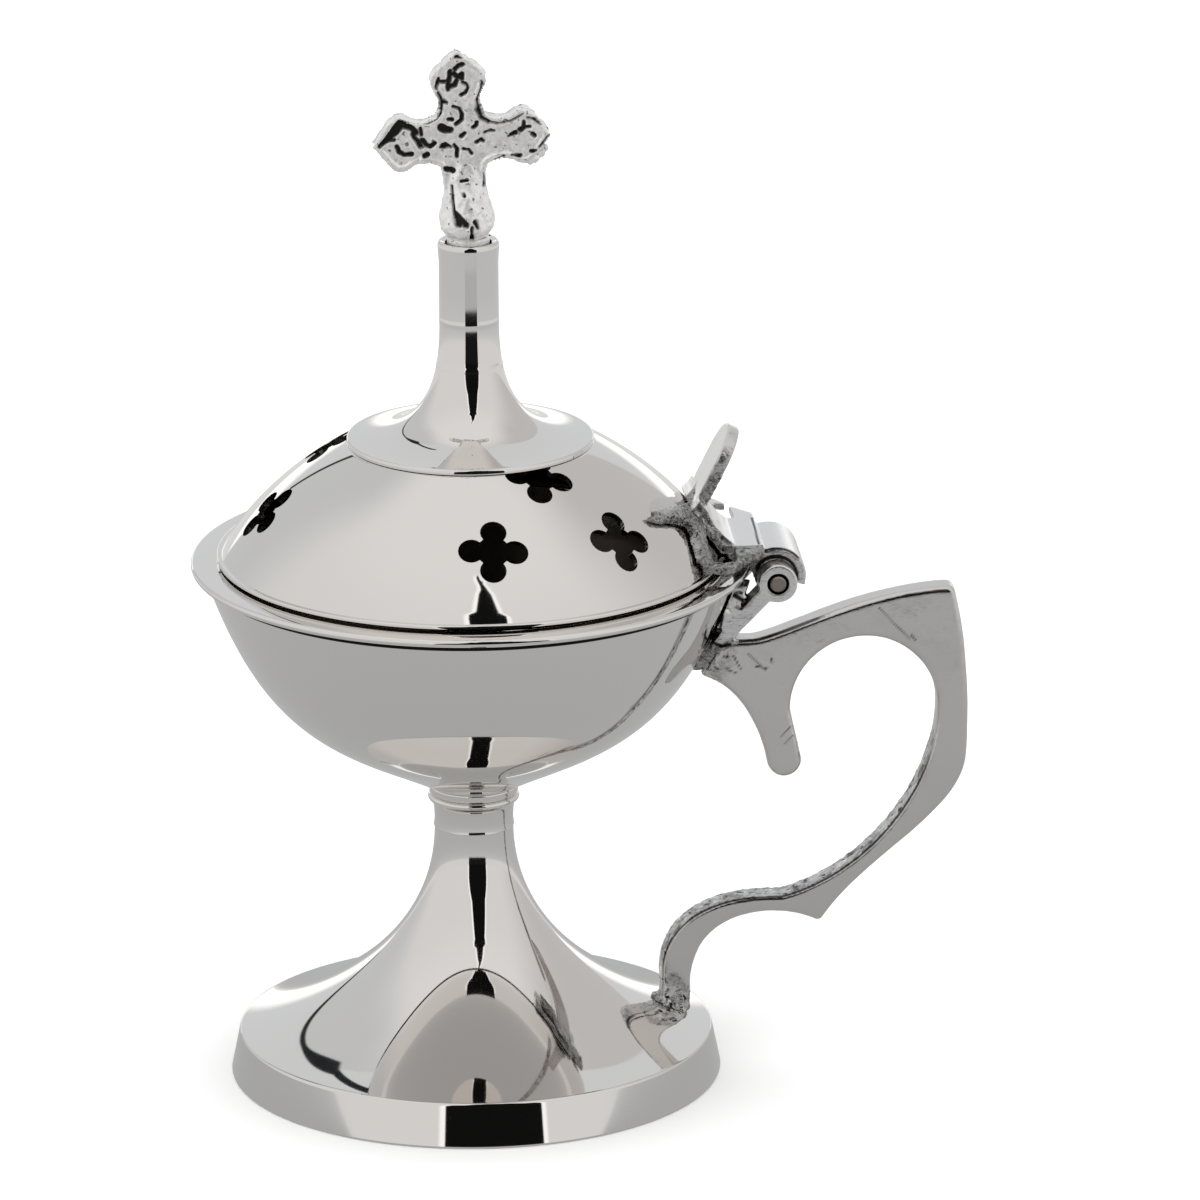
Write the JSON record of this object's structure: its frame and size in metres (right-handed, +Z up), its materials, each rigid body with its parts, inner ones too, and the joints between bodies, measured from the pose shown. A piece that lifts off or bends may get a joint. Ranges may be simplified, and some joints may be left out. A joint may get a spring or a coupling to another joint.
{
  "type": "standing censer",
  "caption": "Table censer: footed metal bowl with a hinged pierced lid, thumb lever, finger-ring handle and a cross finial.",
  "frame": {"origin": "centre of the foot's underside, on the axis of the bowl", "axes": "+Z up along the bowl's axis to the cross, +X towards the handle and hinge, +Y along the hinge pin"},
  "size_m": [0.11, 0.0792, 0.15],
  "materials": {
    "polished_plate": "nickel-plated and mirror polished",
    "cast_plate": "nickel-plated casting, satin, with file and hammer marks",
    "turned_plate": "nickel-plated, turned"
  },
  "bodies": {
    "stand": {"foot": "polished_plate", "collar": "polished_plate", "bowl": "polished_plate", "stem_bolt": "turned_plate", "stem_washer": "turned_plate", "stem_nut": "turned_plate", "bowl_bracket": "cast_plate", "hinge_pin": "turned_plate", "handle": "cast_plate"},
    "lid_assembly": {"lid": "polished_plate", "spire": "polished_plate", "cross": "cast_plate", "finial_rod": "turned_plate", "lid_washer": "turned_plate", "lid_nut": "turned_plate", "lid_bracket": "cast_plate"}
  },
  "joints": [
    {"name": "lid_hinge", "type": "hinge", "parent": "stand", "child": "lid_assembly", "pos_m": [0.0425, 0, 0.07385], "axis": [0, 1, 0], "range_deg": [0, 105]}
  ]
}
